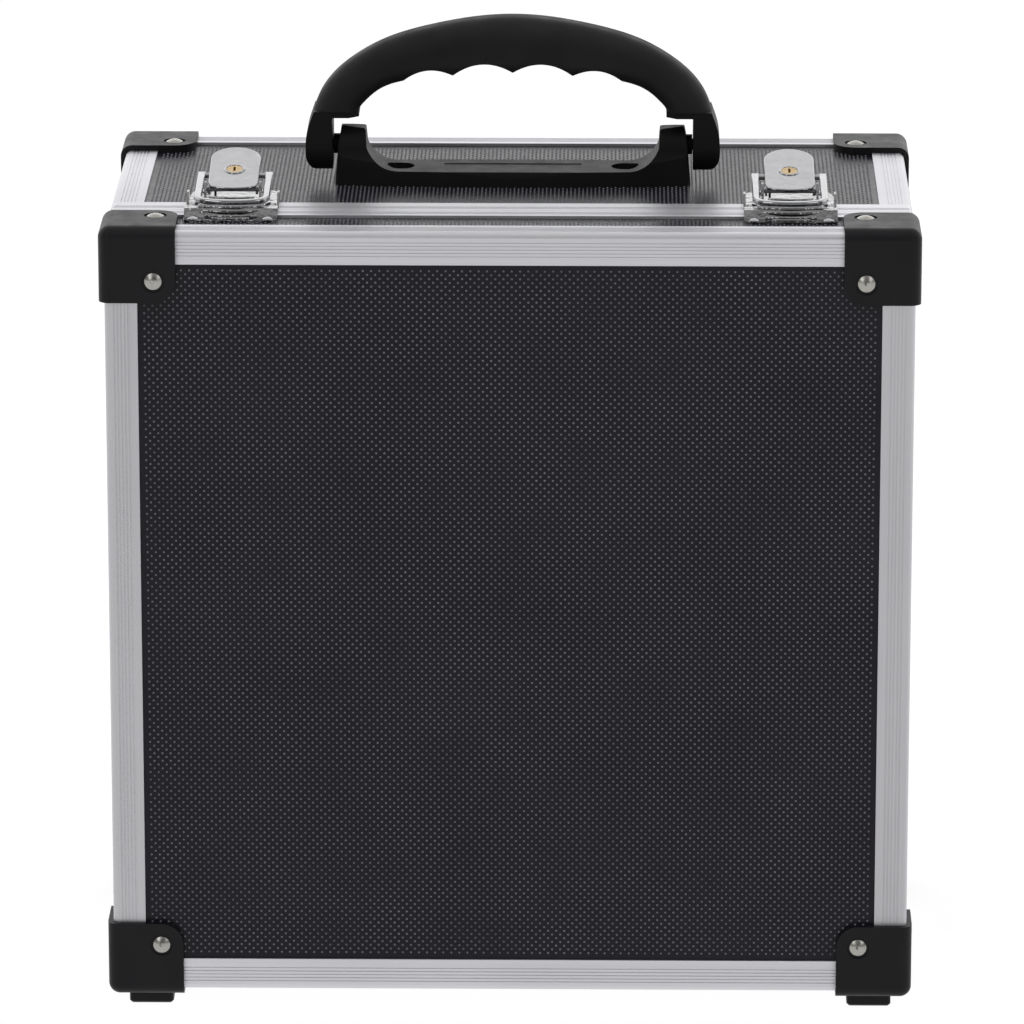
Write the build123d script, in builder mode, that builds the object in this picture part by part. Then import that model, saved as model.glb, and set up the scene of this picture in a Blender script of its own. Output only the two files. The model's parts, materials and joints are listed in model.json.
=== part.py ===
from build123d import *
import math
import os

os.makedirs("parts", exist_ok=True)

# A disc storage case that stands upright on four feet, in millimetres. The lid faces the
# viewer at -Y, the handle is on top at +Z, and the origin is on the floor under the middle.

# Case over its aluminium rails
case_width = 345.6
case_height = 340.0
case_depth = 185.0
lid_depth = 42.0
foot_height = 6.3

# Boards and extrusions
board = 4.0
wall = 1.2
fin = 1.0
board_play = 0.2
rail_leg = 14.1
rail_edge_radius = 2.5
rail_play = 0.2
rib_first = 4.2
rib_pitch = 1.5
rib_count = 5
rib_width = 0.6
rib_depth = 0.3

# Frames round the opening
lid_flange = 10.0
body_flange = 13.4
seam = 0.2
tongue_reach = 3.2
tongue_thickness = 1.2
groove_depth = 4.2
strip_rib_first = 3.4
strip_rib_count = 3

# Corner protectors and their feet
corner_leg = 33.0
corner_proud = 2.4
corner_edge_radius = 5.0
corner_tip_radius = 9.5
corner_rivet_inset = 23.5
dimple_radius = 4.9
dimple_depth = 0.6
foot_size = 19.3
foot_inset = 8.6
foot_corner_radius = 2.0
foot_chamfer = 0.9

# Rivets
rivet_shank = 1.5
rivet_head = 3.65
rivet_head_height = 1.5
rivet_tail = 3.2
tail_height = 0.8
small_shank = 1.25
small_head = 2.4
small_head_height = 1.1
rim_height = 0.35
hole_play = 0.05

# Lining, foam and divider
lining = 2.0
lining_play = 0.3
pocket_play = 0.5
foam = 10.0
divider_thickness = 3.0
divider_setback = 16.0
divider_rounding = 7.0
channel_width = 12.0
channel_base = 1.2
channel_lip = 1.2
channel_height = 6.0
channel_play = 0.2

# Handle base
handle_place = 60.0
base_end_play = 1.0
base_height = 5.7
base_half_depth = 13.0
base_end_depth = 9.4
base_end_rounding = 3.5
base_edge = 0.6
post_inner = 64.2
post_outer = 76.2
post_lean = 0.5
post_half_depth = 9.0
post_crown = 8.5
post_top_slope = 0.9
post_top_draft = 1.4
post_top_rounding = 1.1
post_skirt = 2.4
flare_start = 50.5
flare_bend = (3.6, 5.2)
pivot_height = 15.7
screw_offset = 49.0
screw_shank = 2.5
screw_head = 4.5
screw_head_height = 2.2
screw_head_rounding = 1.0
drive_slot_half = 3.2
drive_slot_width = 1.2
drive_slot_depth = 1.2
counterbore_play = 1.5
counterbore_floor = 1.4
label_length = 60.0
label_width = 10.0
label_depth = 0.3
backing_overhang = 16.0
backing_half_width = 11.0
backing_thickness = 1.5
backing_rounding = 4.0
boss_radius = 4.5
boss_height = 3.0

# Handle core and grip
pivot_boss = 4.4
boss_play = 0.3
lobe_gap = 2.4
lobe_width = 11.7
lobe_drop = 11.4
lobe_half_depth = 11.2
lobe_taper = 3.6
lobe_toe = 5.5
lobe_sole = (10.1, 3.3)
lobe_heel = (2.3, 9.1)
lobe_heel_inset = 0.6
shoulder_gap = 13.6
shoulder_bevel = (4.5, 0.9)
seam_lean = 0.35
under_lean = 0.1
core_half_depth = 5.0
core_seam = 16.3
grip_half_depth = 12.0
grip_outer_rounding = 9.5
grip_inner_rounding = 6.0
grip_end_width = 19.8
grip_crown = 57.2
grip_shoulders = ((34.2, 52.9), (57.0, 45.8), (69.8, 38.4), (78.3, 31.1), (82.7, 25.3))
grip_under = 32.5
grip_under_bends = ((26.2, 31.4), (48.4, 29.2), (57.0, 26.2), (61.6, 22.9), (65.1, 19.4))
core_crown = 50.0
core_bends = ((34.0, 46.2), (58.0, 36.6), (73.0, 25.4))
core_under = 42.5
core_under_bends = ((32.0, 39.5), (54.0, 32.6), (67.2, 22.4))
core_root = 7.4
core_root_inner = 14.6
scallop_centres = (12.2, 35.3)
scallop_tops = (37.8, 35.0)
scallop_radii = (20.0, 16.8)
pivot_pin = 2.5
pivot_pin_in_post = 7.6
pivot_pin_in_lobe = 8.5
pin_end_play = 0.3

# Latches, along the depth of the case and up from the rail face
latch_from_side = 52.8
sheet = 1.0
keeper_gap = 0.5
keeper_length = 19.0
keeper_half_width = 20.0
keeper_rounding = 3.0
keeper_rivet_place = (4.0, 2.9)
seat_height = 3.2
seat_length = 5.9
seat_rise = 2.4
lip_place = 4.6
lip_thickness = 1.7
lip_top = 6.5
lip_half_width = 9.8
lip_crest = 0.5
base_gap = 1.0
base_length = 37.0
base_half_front = 20.0
base_half_back = 18.0
base_front_rounding = 1.5
base_back_rounding = 6.0
base_step = 2.0
front_rivet_place = (3.6, 4.2)
back_rivet_place = (5.0, 3.4)
ear_radius = 3.3
ear_half_foot = 4.8
ear_play = 0.55
cheek_top = 5.2
cheek_span = (5.5, 20.0)
cheek_slope = 4.0
lever_pivot_place = 10.0
lever_pivot_height = 6.6
lever_tilt = 12.0
lever_half_width = 10.75
lever_front = 2.4
lever_bow = 2.2
lever_front_rounding = 5.0
lever_length = 37.0
lever_top = 2.6
lever_plate = 1.2
lever_edge = 0.5
lever_boss = 2.4
lever_flange_end = 24.0
lever_pin = 1.2
pin_proud = 0.2
bail_pivot_place = 29.5
bail_pivot_height = 7.8
bar_height = 4.7
bar_play = 0.4
bail_inner = 13.0
bail_outer = 16.3
bail_thickness = 2.5
bail_bow = 2.4
bail_rounding = 7.0
bail_edge = 0.8
bail_pin = 1.2
plug_place = 14.0
plug_radius = 3.4
plug_proud = 0.3
plug_bottom = -4.8
collar_radius = 4.3
collar_height = 0.9
collar_play = 0.1
cam_length = 7.5
cam_half_width = 2.0
cam_thickness = 1.0
key_slot_width = 1.0
key_slot_length = 4.2
key_slot_depth = 1.2
strike_web = -7.9
strike_lip = -4.2
strike_place = 22.8
strike_length = 4.0
strike_under = 5.5

# Hinges under the case
hinge_from_side = 62.8
hinge_drop = 2.2
knuckle_radius = 2.0
hinge_pin_radius = 1.2
leaf_half_width = 20.0
leaf_thickness = 1.2
leaf_reach_body = 12.5
leaf_reach_lid = 9.6
lid_knuckle_half = 7.7
knuckle_gap = 0.3
leaf_relief = 0.4
leaf_rivet_body = 8.2
leaf_rivet_lid = 7.3
leaf_rivet_spread = 14.0

# Worked out from the above
half_width = case_width / 2
half_depth = case_depth / 2
half_height = case_height / 2
bottom_z = foot_height + corner_proud
top_z = bottom_z + case_height
mid_z = bottom_z + half_height
front_y = -half_depth
back_y = half_depth
split_y = front_y + lid_depth
inner = wall + board
frame_inner = inner + fin
board_edge = inner + fin + board_play
rail_end = rail_leg + rail_play
rivet_inset = corner_rivet_inset - corner_proud
lining_face = inner + lining
handle_y = split_y + handle_place
grip_end_inner = post_outer + lobe_gap + lobe_width - lobe_taper - grip_end_width
lobe_inner = post_outer + lobe_gap
lobe_outer = lobe_inner + lobe_width
base_half_length = lobe_inner - base_end_play
seam_height = pivot_height + core_seam
crown_height = pivot_height + grip_crown
counterbore_radius = screw_head + counterbore_play
backing_half_length = screw_offset + backing_overhang
pivot_pin_inner = post_outer - pivot_pin_in_post
pivot_pin_outer = lobe_inner + pivot_pin_in_lobe
latch_offset = half_width - latch_from_side
hinge_offset = half_width - hinge_from_side
keeper_back = lid_depth - keeper_gap
keeper_front = keeper_back - keeper_length
lip_front = keeper_back - lip_place
lip_back = lip_front + lip_thickness
base_front = lid_depth + base_gap
base_back = base_front + base_length
frame_step = lid_depth + body_flange
lever_pivot_depth = base_front + lever_pivot_place
bail_pivot_depth = base_front + bail_pivot_place
strike_front = base_front + strike_place
bar_depth = lip_front - bar_play - bail_thickness / 2
ear_inner = lever_half_width + ear_play
bow_radius = (bail_inner**2 + bail_bow**2) / (2 * bail_bow)
under_plate = lever_top - lever_plate
middle = (0, 0, mid_z)

LEFT, RIGHT = (-1, 0, 0), (1, 0, 0)
FRONT, BACK = (0, -1, 0), (0, 1, 0)
DOWN, UP = (0, 0, -1), (0, 0, 1)
LOW_CORNER = (Align.MIN, Align.MIN)
ON_FOOT = (Align.CENTER, Align.CENTER, Align.MIN)


def keep(piece, name):
    piece.part.label = name
    export_step(piece.part, f"parts/{name}.step")


def block(low, high, mode=Mode.ADD):
    """A box between two corners, given in any order."""
    size = [abs(b - a) for a, b in zip(low, high)]
    with Locations(tuple((a + b) / 2 for a, b in zip(low, high))):
        Box(*size, mode=mode)


def bore(points, inward, radius, start, end, mode=Mode.SUBTRACT):
    """Round holes or pegs at points of an outer rail face, between two depths below it."""
    feet = [Vector(*point) + Vector(*inward) * start for point in points]
    with Locations(*[Plane(origin=foot, z_dir=inward) for foot in feet]):
        Cylinder(radius, end - start, align=ON_FOOT, mode=mode)


def outward(point, inward):
    """The plane on which a rivet made on Z stands, at a point of the outer rail face."""
    return Plane(origin=point, z_dir=Vector(*inward) * -1)


def edge_plane(corner, first, second):
    """A plane across an extrusion: its x and y run inward along the two legs."""
    return Plane(origin=corner, x_dir=first, z_dir=Vector(*first).cross(Vector(*second)))


def scaled(direction, factor):
    return tuple(factor * d for d in direction)


def flipped(direction):
    return scaled(direction, -1)


# Edge rails

def rail_section():
    """The angle extrusion: two ribbed flanges outside, two fins that hold the boards."""
    Rectangle(rail_leg, wall, align=LOW_CORNER)
    Rectangle(wall, rail_leg, align=LOW_CORNER)
    with Locations((inner, inner)):
        Rectangle(rail_leg - inner, fin, align=LOW_CORNER)
        Rectangle(fin, rail_leg - inner, align=LOW_CORNER)
    with Locations((inner, 0)):
        Rectangle(fin, frame_inner, align=LOW_CORNER)
    with Locations((0, inner)):
        Rectangle(frame_inner, fin, align=LOW_CORNER)
    fillet(vertices().sort_by_distance((0, 0))[0], rail_edge_radius)
    for rib in range(rib_count):
        place = rib_first + rib * rib_pitch
        with Locations((place, 0)):
            Rectangle(rib_width, 2 * rib_depth, mode=Mode.SUBTRACT)
        with Locations((0, place)):
            Rectangle(2 * rib_depth, rib_width, mode=Mode.SUBTRACT)


def rails(name, runs):
    """Rails of one kind, each given by its middle on the case edge, its two legs and length."""
    with BuildPart() as bars:
        for corner, first, second, length in runs:
            with BuildSketch(edge_plane(corner, first, second)):
                rail_section()
            extrude(amount=length / 2, both=True)
    keep(bars, name)


def level_rail(face, level):
    corner = (0, face * half_depth, mid_z + level * half_height)
    return corner, (0, -face, 0), (0, 0, -level), case_width - 2 * rail_end


def upright_rail(side, face):
    corner = (side * half_width, face * half_depth, mid_z)
    return corner, (-side, 0, 0), (0, -face, 0), case_height - 2 * rail_end


def depth_rail(side, level, start, end):
    corner = (side * half_width, (start + end) / 2, mid_z + level * half_height)
    return corner, (-side, 0, 0), (0, 0, -level), end - start


def all_rails():
    rails("front_top_rail", [level_rail(-1, 1)])
    rails("front_bottom_rail", [level_rail(-1, -1)])
    rails("front_left_rail", [upright_rail(-1, -1)])
    rails("front_right_rail", [upright_rail(1, -1)])
    rails("back_level_rails", [level_rail(1, level) for level in (-1, 1)])
    rails("back_upright_rails", [upright_rail(side, 1) for side in (-1, 1)])
    lid_run = (front_y + rail_end, split_y - lid_flange)
    body_run = (split_y + body_flange, back_y - rail_end)
    edges = [(side, level) for side in (-1, 1) for level in (-1, 1)]
    rails("lid_depth_rails", [depth_rail(*edge, *lid_run) for edge in edges])
    rails("body_depth_rails", [depth_rail(*edge, *body_run) for edge in edges])


# Fasteners: where each group of rivets goes, on the outer rail face

def corner_points(face):
    """Three rivets in each of the four corners of one face of the case, by direction inward."""
    across = half_width - rivet_inset
    along = face * (half_depth - rivet_inset)
    up = half_height - rivet_inset
    found = {flipped((0, face, 0)): [], LEFT: [], RIGHT: [], DOWN: [], UP: []}
    for side in (-1, 1):
        for level in (-1, 1):
            found[(0, -face, 0)].append((side * across, face * half_depth, mid_z + level * up))
            found[(-side, 0, 0)].append((side * half_width, along, mid_z + level * up))
            found[(0, 0, -level)].append((side * across, along, mid_z + level * half_height))
    return found


def latch_points(offset, depth):
    """Two rivets of each latch on the top face, at an offset across and a depth."""
    return [
        (side * latch_offset + across, front_y + depth, top_z)
        for side in (-1, 1)
        for across in (-offset, offset)
    ]


def hinge_points(reach):
    """Rivets of both hinges on the bottom face, at a distance behind the split."""
    return [
        (side * hinge_offset + spread, split_y + reach, bottom_z)
        for side in (-1, 1)
        for spread in (-leaf_rivet_spread, leaf_rivet_spread)
    ]


keeper_rivets = latch_points(
    keeper_half_width - keeper_rivet_place[0], keeper_front + keeper_rivet_place[1]
)
base_front_rivets = latch_points(
    base_half_front - front_rivet_place[0], base_front + front_rivet_place[1]
)
base_back_rivets = latch_points(base_half_back - back_rivet_place[0], base_back - back_rivet_place[1])
body_hinge_rivets = hinge_points(leaf_rivet_body)
lid_hinge_rivets = hinge_points(-leaf_rivet_lid)
handle_screw_points = [(side * screw_offset, handle_y, top_z) for side in (-1, 1)]


def domed(head_radius, head_height, shank_radius, seat, grip, tail_radius):
    """A rivet on Z: z = 0 is the rail face, the head is above seat, the tail below -grip."""
    with BuildPart() as piece:
        with BuildSketch(Plane.XZ):
            with BuildLine():
                crown = (0, seat + head_height)
                rim = (head_radius, seat + rim_height)
                TangentArc(crown, rim, tangent=(1, 0))
                Polyline(
                    rim,
                    (head_radius, seat),
                    (shank_radius, seat),
                    (shank_radius, -grip),
                    (tail_radius, -grip),
                    (tail_radius, -grip - tail_height),
                    (0, -grip - tail_height),
                    crown,
                )
            make_face()
        revolve(axis=Axis.Z)
    return piece.part


def rivets(name, rows):
    """One node of rivets, each row being a rivet, its points and the direction inward."""
    with BuildPart() as group:
        for rivet, points, inward in rows:
            with Locations(*[outward(point, inward) for point in points]):
                add(rivet)
    keep(group, name)


def all_rivets():
    corner = domed(
        rivet_head, rivet_head_height, rivet_shank, corner_proud - dimple_depth, inner, rivet_tail
    )
    for name, face in (("lid_corner_rivets", -1), ("body_corner_rivets", 1)):
        rows = [(corner, points, inward) for inward, points in corner_points(face).items()]
        rivets(name, rows)

    small = (small_head, small_head_height, small_shank)
    on_panel = domed(*small, sheet - wall, inner, small_head)
    on_frame = domed(*small, sheet, frame_inner, small_head)
    on_leaf = domed(*small, leaf_thickness, frame_inner, small_head)
    body_rows = [
        (on_frame, base_front_rivets, DOWN),
        (on_panel, base_back_rivets, DOWN),
        (on_leaf, body_hinge_rivets, UP),
    ]
    rivets("body_fitting_rivets", body_rows)
    rivets("lid_fitting_rivets", [(on_panel, keeper_rivets, DOWN), (on_leaf, lid_hinge_rivets, UP)])


# Boards

def drilled(low, high, holes, name):
    """A board between two corners, with round holes given as (points, inward, radius)."""
    with BuildPart() as panel:
        block(low, high)
        drill(holes)
    keep(panel, name)


def drill(holes):
    for points, inward, radius in holes:
        bore(points, inward, radius + hole_play, -sheet, lining_face + sheet)


def boards():
    x_edge = half_width - board_edge
    x_inner = half_width - inner
    z_low, z_high = bottom_z + board_edge, top_z - board_edge
    lid_back = split_y - groove_depth - fin - board_play
    body_front = split_y + wall + board_play
    lid_corners = corner_points(-1)
    body_corners = corner_points(1)

    def corner_holes(corners, inward):
        return [(corners[inward], inward, rivet_shank)]

    drilled(
        (-x_edge, front_y + wall, z_low),
        (x_edge, front_y + inner, z_high),
        corner_holes(lid_corners, BACK),
        "lid_front_panel",
    )
    drilled(
        (-x_edge, back_y - wall, z_low),
        (x_edge, back_y - inner, z_high),
        corner_holes(body_corners, FRONT),
        "body_back_panel",
    )
    lid_span = (front_y + board_edge, lid_back)
    body_span = (body_front, back_y - board_edge)
    top, under_top = top_z - wall, top_z - inner
    bottom, over_bottom = bottom_z + wall, bottom_z + inner
    drilled(
        (-x_edge, lid_span[0], under_top),
        (x_edge, lid_span[1], top),
        corner_holes(lid_corners, DOWN) + [(keeper_rivets, DOWN, small_shank)],
        "lid_top_panel",
    )
    drilled(
        (-x_edge, lid_span[0], bottom),
        (x_edge, lid_span[1], over_bottom),
        corner_holes(lid_corners, UP) + [(lid_hinge_rivets, UP, small_shank)],
        "lid_bottom_panel",
    )
    top_holes = [
        (base_front_rivets + base_back_rivets, DOWN, small_shank),
        (handle_screw_points, DOWN, screw_shank),
    ]
    drilled(
        (-x_edge, body_span[0], under_top),
        (x_edge, body_span[1], top),
        corner_holes(body_corners, DOWN) + top_holes,
        "body_top_panel",
    )
    drilled(
        (-x_edge, body_span[0], bottom),
        (x_edge, body_span[1], over_bottom),
        corner_holes(body_corners, UP) + [(body_hinge_rivets, UP, small_shank)],
        "body_bottom_panel",
    )
    for name, span, corners in (
        ("lid_side_panels", lid_span, lid_corners),
        ("body_side_panels", body_span, body_corners),
    ):
        with BuildPart() as pair:
            for side in (-1, 1):
                block(
                    (side * x_inner, span[0], z_low), (side * (half_width - wall), span[1], z_high)
                )
            drill(corner_holes(corners, RIGHT) + corner_holes(corners, LEFT))
        keep(pair, name)


# Frames round the opening of the lid and of the body

def flange_ribs(count):
    for rib in range(count):
        with Locations((strip_rib_first + rib * rib_pitch, 0)):
            Rectangle(rib_width, 2 * rib_depth, mode=Mode.SUBTRACT)


def body_frame_section():
    """x runs back from the split, y runs inward from the rail face."""
    Rectangle(body_flange, wall, align=LOW_CORNER)
    Rectangle(wall, frame_inner, align=LOW_CORNER)
    with Locations((0, inner)):
        Rectangle(body_flange, fin, align=LOW_CORNER)
    with Locations((-tongue_reach, wall + (board - tongue_thickness) / 2)):
        Rectangle(tongue_reach + wall, tongue_thickness, align=LOW_CORNER)
    flange_ribs(strip_rib_count)


def lid_frame_section():
    """x runs forward from the split, y runs inward from the rail face."""
    with Locations((seam, 0)):
        Rectangle(lid_flange - seam, wall, align=LOW_CORNER)
    with Locations((groove_depth, 0)):
        Rectangle(fin, frame_inner, align=LOW_CORNER)
    with Locations((seam, inner)):
        Rectangle(lid_flange - seam, fin, align=LOW_CORNER)
    flange_ribs(strip_rib_count)


def rounded_envelope():
    """Everything inside the case's rounded long edges."""
    with BuildPart() as envelope:
        with BuildSketch(Plane.XZ.offset(half_depth)) as outline:
            with Locations((0, mid_z)):
                RectangleRounded(case_width, case_height, rail_edge_radius)
        extrude(amount=-case_depth)
    return envelope.part


def frame_bar(section, along_split, inward, length, holes):
    """One mitred bar of a frame; inward is the direction from its outer face to the middle."""
    centre = Vector(*middle) - Vector(*inward) * (half_height if inward[2] else half_width)
    corner = (centre.X, split_y, centre.Z)
    with BuildPart() as bar:
        with BuildSketch(edge_plane(corner, along_split, inward)):
            section()
        extrude(amount=length / 2, both=True)
        for end in (-1, 1):
            along = Vector(end, 0, 0) if inward[2] else Vector(0, 0, end)
            tip = Vector(*corner) + along * (length / 2)
            mitre = Plane(origin=tip, z_dir=along + Vector(*inward))
            split(bisect_by=mitre, keep=Keep.BOTTOM)
        drill(holes)
        add(ENVELOPE, mode=Mode.INTERSECT)
    return bar.part


def frame(name, section, along_split, bars):
    """One node of a frame, made of mitred bars with their holes."""
    with BuildPart() as joined:
        for inward, length, holes in bars:
            add(frame_bar(section, along_split, inward, length, holes))
    keep(joined, name)


ENVELOPE = rounded_envelope()


def frames():
    base_holes = [(base_front_rivets, DOWN, small_shank)]
    lid_holes = [(lid_hinge_rivets, UP, small_shank)]
    body_holes = [(body_hinge_rivets, UP, small_shank)]
    sides = [(LEFT, case_height, []), (RIGHT, case_height, [])]
    frame("body_frame_top", body_frame_section, BACK, [(DOWN, case_width, base_holes)])
    frame("body_frame_bottom", body_frame_section, BACK, [(UP, case_width, body_holes)])
    frame("body_frame_sides", body_frame_section, BACK, sides)
    frame("lid_frame_top", lid_frame_section, FRONT, [(DOWN, case_width, [])])
    frame("lid_frame_bottom", lid_frame_section, FRONT, [(UP, case_width, lid_holes)])
    frame("lid_frame_sides", lid_frame_section, FRONT, sides)


# Corner protectors

def corner_protector(side, face, level):
    """A moulded shell over one corner: three plates with rounded tips, a foot if it is low."""
    apex = (side * half_width, face * half_depth, mid_z + level * half_height)
    inward = (-side, -face, -level)
    reach = corner_leg - corner_proud

    def at(*steps):
        return tuple(a + i * s for a, i, s in zip(apex, inward, steps))

    with BuildPart() as shell:
        block(at(*[-corner_proud] * 3), at(*[reach] * 3))
        fillet(shell.edges().sort_by_distance(at(*[reach] * 3))[:3], corner_tip_radius)
        fillet(shell.edges().sort_by_distance(at(*[-corner_proud] * 3))[:3], corner_edge_radius)
        block(at(*[wall] * 3), at(*[reach + wall] * 3), mode=Mode.SUBTRACT)
        for axis in range(3):
            far = [rail_end] * 3
            far[axis] = reach + wall
            block(at(0, 0, 0), at(*far), mode=Mode.SUBTRACT)
        if level < 0:
            foot_middle = foot_inset - corner_proud + foot_size / 2
            centre = at(foot_middle, foot_middle, 0)
            with BuildSketch(Plane(origin=(centre[0], centre[1], 0))):
                RectangleRounded(foot_size, foot_size, foot_corner_radius)
            extrude(amount=foot_height + corner_proud / 2)
            chamfer(shell.edges().group_by(Axis.Z)[0], foot_chamfer)
        for axis in range(3):
            steps = [rivet_inset] * 3
            steps[axis] = 0
            direction = [0, 0, 0]
            direction[axis] = inward[axis]
            point = at(*steps)
            bore([point], direction, rivet_shank + hole_play, -corner_leg, wall + fin)
            bore([point], direction, dimple_radius, -corner_leg, dimple_depth - corner_proud)
    return shell


def corner_protectors():
    names = {(-1, -1): "front_left", (1, -1): "front_right", (-1, 1): "back_left", (1, 1): "back_right"}
    for (side, face), place in names.items():
        keep(corner_protector(side, face, 1), f"corner_{place}_top")
        keep(corner_protector(side, face, -1), f"corner_{place}_bottom")


# Lining, foam and the divider between two rows of disc cases

def linings():
    pocket = rivet_tail + pocket_play
    pocket_floor = inner + tail_height + pocket_play
    body_corners = corner_points(1)
    x_edge = half_width - rail_leg - lining_play
    z_low, z_high = bottom_z + rail_leg + lining_play, top_z - rail_leg - lining_play
    y_front, y_back = split_y + body_flange + lining_play, back_y - rail_leg - lining_play

    with BuildPart() as back_pad:
        block((-x_edge, back_y - inner, z_low), (x_edge, back_y - lining_face, z_high))
        bore(body_corners[FRONT], FRONT, pocket, inner, pocket_floor)
    keep(back_pad, "back_lining")

    with BuildPart() as end_pads:
        block((-x_edge, y_front, top_z - lining_face), (x_edge, y_back, top_z - inner))
        block((-x_edge, y_front, bottom_z + inner), (x_edge, y_back, bottom_z + lining_face))
        bore(body_corners[DOWN] + base_back_rivets, DOWN, pocket, inner, pocket_floor)
        bore(body_corners[UP], UP, pocket, inner, pocket_floor)
        half_length = backing_half_length + pocket_play
        half_breadth = backing_half_width + pocket_play
        block(
            (-half_length, handle_y - half_breadth, top_z - lining_face - 1),
            (half_length, handle_y + half_breadth, top_z - inner),
            mode=Mode.SUBTRACT,
        )
    keep(end_pads, "end_linings")

    with BuildPart() as side_pads:
        for side in (-1, 1):
            block(
                (side * (half_width - inner), y_front, z_low),
                (side * (half_width - lining_face), y_back, z_high),
            )
        bore(body_corners[RIGHT], RIGHT, pocket, inner, pocket_floor)
        bore(body_corners[LEFT], LEFT, pocket, inner, pocket_floor)
    keep(side_pads, "side_linings")

    with BuildPart() as pad:
        block((-x_edge, front_y + inner, z_low), (x_edge, front_y + inner + foam, z_high))
        bore(corner_points(-1)[BACK], BACK, pocket, inner, pocket_floor)
    keep(pad, "lid_foam")


def divider():
    y_front = split_y + divider_setback
    y_back = back_y - lining_face - lining_play
    slot = divider_thickness / 2 + channel_play / 2
    with BuildPart() as channels:
        for level in (-1, 1):
            face = mid_z + level * (half_height - lining_face)
            floor = face - level * channel_base
            tip = floor - level * channel_height
            block((-channel_width / 2, y_front, face), (channel_width / 2, y_back, floor))
            for side in (-1, 1):
                block((side * slot, y_front, floor), (side * (slot + channel_lip), y_back, tip))
    keep(channels, "divider_channels")

    reach = half_height - lining_face - channel_base - channel_play / 2
    half = divider_thickness / 2
    with BuildPart() as wall_board:
        block((-half, y_front, mid_z - reach), (half, y_back, mid_z + reach))
        fillet(wall_board.edges().filter_by(Axis.X).group_by(Axis.Y)[0], divider_rounding)
    keep(wall_board, "disc_divider")


# Carrying handle: heights in its sketches are above the rail face

def handle_front_plane():
    """Looking along the depth: x across the case, y up from the rail face."""
    return Plane(origin=(0, handle_y, top_z), x_dir=(1, 0, 0), z_dir=(0, -1, 0))


def handle_side_plane():
    """Looking across the case: x along the depth, y up from the rail face."""
    return Plane(origin=(0, handle_y, top_z), x_dir=(0, 1, 0), z_dir=(1, 0, 0))


def handle_base():
    with BuildPart() as base:
        with BuildSketch(handle_front_plane()):
            with BuildLine():
                post_top = pivot_height + post_crown
                inner_top = (post_inner, post_top - post_top_slope)
                outer_top = (post_outer - post_top_draft, post_top)
                foot = (base_half_length, -wall)
                shoulder = (base_half_length - base_edge, base_height)
                root = (post_inner - post_lean, pivot_height)
                bend = (post_inner - flare_bend[0], pivot_height - flare_bend[1])
                Polyline(
                    (0, -wall),
                    foot,
                    shoulder,
                    (post_outer, pivot_height),
                    outer_top,
                    inner_top,
                    root,
                )
                Spline(root, bend, (flare_start, base_height), tangents=((-0.3, -1), (-1, -0.05)))
                Line((flare_start, base_height), (0, base_height))
                mirror(about=Plane.YZ)
            make_face()
            fillet(vertices().filter_by(lambda v: v.Y > pivot_height + 1), post_top_rounding)
        extrude(amount=base_half_depth, both=True)
        with BuildSketch(handle_side_plane()):
            with BuildLine():
                for face in (-1, 1):
                    waist = (face * post_half_depth, pivot_height)
                    skirt = (face * base_half_depth, post_skirt)
                    Spline(waist, skirt, tangents=((0, -1), (0, -1)))
                    Line(skirt, (face * base_half_depth, -wall))
                Line((-base_half_depth, -wall), (base_half_depth, -wall))
                ThreePointArc(
                    (post_half_depth, pivot_height),
                    (0, pivot_height + post_crown),
                    (-post_half_depth, pivot_height),
                )
            make_face()
        extrude(amount=base_half_length + 1, both=True, mode=Mode.INTERSECT)
        with BuildSketch(Plane(origin=(0, handle_y, top_z))):
            with BuildLine():
                for face in (-1, 1):
                    ThreePointArc(
                        (-base_half_length, face * base_end_depth),
                        (0, face * base_half_depth),
                        (base_half_length, face * base_end_depth),
                    )
                for side in (-1, 1):
                    end = side * base_half_length
                    Line((end, -base_end_depth), (end, base_end_depth))
            make_face()
            fillet(vertices(), base_end_rounding)
        extrude(amount=2 * case_depth, both=True, mode=Mode.INTERSECT)
        bore(handle_screw_points, DOWN, screw_shank + hole_play, -base_height - 1, wall + 1)
        bore(handle_screw_points, DOWN, counterbore_radius, -pivot_height, -counterbore_floor)
        block(
            (-label_length / 2, handle_y - label_width / 2, top_z + base_height - label_depth),
            (label_length / 2, handle_y + label_width / 2, top_z + base_height + 1),
            mode=Mode.SUBTRACT,
        )
        pocket = pivot_pin_inner - pin_end_play
        for side in (-1, 1):
            start = (side * pocket, handle_y, top_z + pivot_height)
            boss_end = lobe_inner - boss_play - pocket
            bore([start], (side, 0, 0), pivot_boss, pin_end_play, boss_end, mode=Mode.ADD)
            bore([start], (side, 0, 0), pivot_pin + hole_play, 0, post_outer)
    keep(base, "handle_base")


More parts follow.
